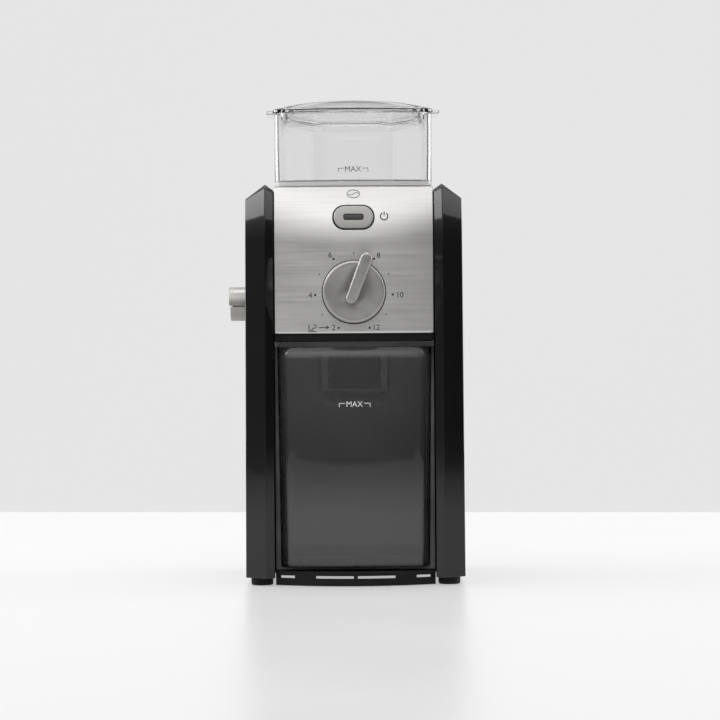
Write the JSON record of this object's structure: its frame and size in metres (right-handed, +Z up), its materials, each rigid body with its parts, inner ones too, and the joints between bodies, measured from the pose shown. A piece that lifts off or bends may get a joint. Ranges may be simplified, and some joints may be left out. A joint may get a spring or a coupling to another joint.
{
  "type": "burr coffee grinder",
  "caption": "Upright electric burr coffee grinder with a clear bean hopper, steel front, cup-count knob, side fineness knob and a slide-out grounds container.",
  "frame": {"origin": "under the middle of the whole machine, side knob included, on the plane the feet stand on", "axes": "+Z up, the steel front faces -Y, the fineness knob is on the -X side"},
  "size_m": [0.131, 0.163, 0.2659],
  "materials": {
    "gloss_black_abs": "moulded, polished",
    "matte_black_abs": "fine spark texture",
    "charcoal_abs": "fine spark texture",
    "brushed_stainless": "brushed from side to side",
    "satin_silver": "satin silver lacquer on moulded plastic",
    "turned_steel": "turned and ground",
    "burr_steel": "hardened, ground",
    "enamelled_copper": "enamelled wire",
    "clear_san": "clear, polished",
    "smoked_san": "smoke tinted, polished",
    "lens_tint": "dark light guide",
    "black_rubber": "moulded",
    "natural_nylon": "moulded",
    "circuit_board": "solder mask"
  },
  "bodies": {
    "housing": {"left_side_panel": "gloss_black_abs", "right_side_panel": "gloss_black_abs", "foot_front_left": "black_rubber", "foot_rear_left": "black_rubber", "foot_front_right": "black_rubber", "foot_rear_right": "black_rubber", "power_switch": "matte_black_abs", "front_fascia": "brushed_stainless", "fascia_carrier": "matte_black_abs", "cup_selector_dial_switch": "turned_steel", "control_board": "circuit_board", "bay_liner": "charcoal_abs", "base_plate": "matte_black_abs", "base_screw_1": "turned_steel", "base_screw_2": "turned_steel", "base_screw_3": "turned_steel", "base_screw_4": "turned_steel", "top_deck": "satin_silver", "rear_cover": "matte_black_abs", "rear_screw_1": "turned_steel", "rear_screw_2": "turned_steel", "cord_inlet_bush": "black_rubber", "grinding_chamber": "natural_nylon", "burr_shaft_bearing": "turned_steel", "fineness_bush": "natural_nylon", "grounds_chute": "matte_black_abs", "idler_axle": "turned_steel", "motor_can": "turned_steel", "motor_end_cap": "matte_black_abs", "motor_bearing_lower": "turned_steel", "motor_bearing_upper": "turned_steel", "motor_magnet_ring": "burr_steel", "motor_bracket": "turned_steel", "mechanism_frame": "charcoal_abs", "interlock_switch": "matte_black_abs"},
    "power_button": {"power_button": "satin_silver", "power_lens": "lens_tint"},
    "cup_selector": {"cup_selector_knob": "satin_silver", "cup_selector_shaft": "turned_steel"},
    "fineness_selector": {"fineness_knob": "satin_silver", "fineness_shaft": "turned_steel"},
    "upper_burr_adjuster": {"adjusting_ring": "natural_nylon", "upper_burr": "burr_steel"},
    "burr_drive": {"lower_burr": "burr_steel", "burr_carrier": "burr_steel", "burr_shaft": "turned_steel", "burr_nut": "turned_steel", "burr_gear": "natural_nylon"},
    "idler": {"idler_gear": "natural_nylon"},
    "rotor": {"motor_shaft": "turned_steel", "motor_pinion": "turned_steel", "rotor_core": "burr_steel", "rotor_winding_lower": "enamelled_copper", "rotor_winding_upper": "enamelled_copper", "commutator": "enamelled_copper", "cooling_fan": "matte_black_abs"},
    "hopper": {"bean_hopper": "clear_san"},
    "hopper_lid": {"hopper_lid": "clear_san"},
    "container": {"grounds_container": "smoked_san", "container_lid": "smoked_san"}
  },
  "joints": [
    {"name": "power_button_press", "type": "slide", "parent": "housing", "child": "power_button", "axis": [0, 0.9695, -0.245], "range_m": [0, 0.0018], "stiffness_N_per_m": 900},
    {"name": "cup_selector_turn", "type": "hinge", "parent": "housing", "child": "cup_selector", "pos_m": [0.0059, -0.07, 0.1589], "axis": [0, -1, 0], "range_deg": [-135.7, 177.7]},
    {"name": "fineness_turn", "type": "hinge", "parent": "housing", "child": "fineness_selector", "pos_m": [-0.0541, 0.028, 0.1543], "axis": [1, 0, 0], "range_deg": [-130, 130]},
    {"name": "adjusting_ring_turn", "type": "hinge", "parent": "housing", "child": "upper_burr_adjuster", "pos_m": [0.0059, 0.028, 0.16], "axis": [0, 0, 1], "range_deg": [-22, 22]},
    {"name": "motor_spin", "type": "hinge", "parent": "housing", "child": "rotor", "pos_m": [0.0059, 0.046, 0.05], "axis": [0, 0, 1], "continuous": true},
    {"name": "idler_spin", "type": "hinge", "parent": "housing", "child": "idler", "pos_m": [0.02675, 0.04353, 0.095], "axis": [0, 0, 1], "continuous": true},
    {"name": "burr_spin", "type": "hinge", "parent": "housing", "child": "burr_drive", "pos_m": [0.0059, 0.028, 0.12], "axis": [0, 0, 1], "continuous": true},
    {"name": "hopper_lift", "type": "slide", "parent": "housing", "child": "hopper", "axis": [0, 0, 1], "range_m": [0, 0.06]},
    {"name": "hopper_lid_lift", "type": "slide", "parent": "hopper", "child": "hopper_lid", "axis": [0, 0, 1], "range_m": [0, 0.05]},
    {"name": "container_pull", "type": "slide", "parent": "housing", "child": "container", "axis": [0, -1, 0], "range_m": [0, 0.08]}
  ],
  "couplings": [
    {"joint": "adjusting_ring_turn", "follows": "fineness_turn", "ratio": 0.16667},
    {"joint": "idler_spin", "follows": "motor_spin", "ratio": -0.3125},
    {"joint": "burr_spin", "follows": "motor_spin", "ratio": 0.09375}
  ]
}
